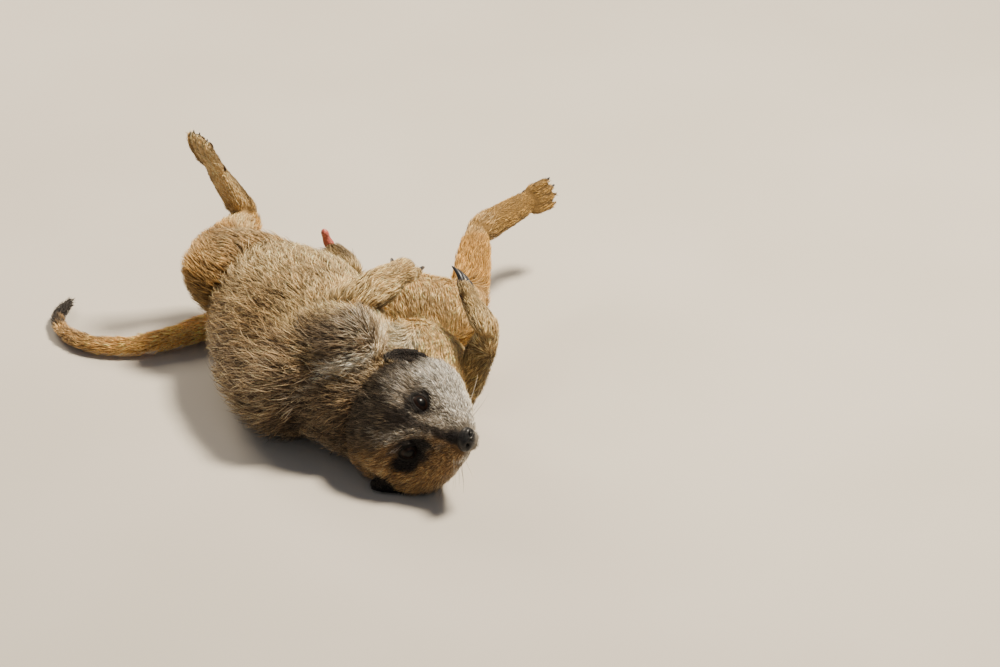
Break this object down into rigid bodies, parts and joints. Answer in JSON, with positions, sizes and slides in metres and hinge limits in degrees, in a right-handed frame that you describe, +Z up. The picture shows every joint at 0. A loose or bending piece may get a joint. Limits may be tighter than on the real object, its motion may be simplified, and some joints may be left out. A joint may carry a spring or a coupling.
{
  "type": "meerkat",
  "caption": "Still, life-size meerkat lying on its back with its hind legs spread, its forepaws raised and its head turned to one side.",
  "frame": {"origin": "middle of the model's footprint, on the floor that it lies on", "axes": "+Z up, the head towards -Y, the animal's left side towards -X"},
  "size_m": [0.2586, 0.253, 0.1101],
  "materials": {
    "head_fur": "short dense fur, grey-white with dark ticking",
    "body_fur": "long coarse fur, tan with brown bases and pale tips",
    "leg_fur": "short golden fur with fine dark ticking",
    "dark_fur": "short black-brown fur",
    "eye": "wet gloss, near-black brown",
    "nose": "damp, finely pebbled black skin",
    "claw": "smooth black horn",
    "bare_skin": "smooth moist pink skin"
  },
  "bodies": {
    "root": {"eye_left": "eye", "eye_right": "eye", "nose": "nose", "head": "head_fur", "ear_left": "dark_fur", "ear_right": "dark_fur", "chest": "body_fur", "belly": "body_fur", "rump": "body_fur", "neck": "body_fur", "upper_arm_left": "leg_fur", "forearm_left": "leg_fur", "upper_arm_right": "leg_fur", "forearm_right": "leg_fur", "thigh_left": "leg_fur", "shank_left": "leg_fur", "thigh_right": "leg_fur", "shank_right": "leg_fur", "claw_fore_left_1": "claw", "claw_fore_left_2": "claw", "claw_fore_left_3": "claw", "claw_fore_left_4": "claw", "forepaw_left": "leg_fur", "claw_fore_right_1": "claw", "claw_fore_right_2": "claw", "claw_fore_right_3": "claw", "claw_fore_right_4": "claw", "forepaw_right": "leg_fur", "claw_hind_left_1": "claw", "claw_hind_left_2": "claw", "claw_hind_left_3": "claw", "claw_hind_left_4": "claw", "hind_foot_left": "leg_fur", "claw_hind_right_1": "claw", "claw_hind_right_2": "claw", "claw_hind_right_3": "claw", "claw_hind_right_4": "claw", "hind_foot_right": "leg_fur", "tail_base": "leg_fur", "tail_middle": "leg_fur", "tail_curl": "leg_fur", "tail_tip": "dark_fur", "sheath_tip": "bare_skin", "sheath": "leg_fur"}
  },
  "joints": []
}
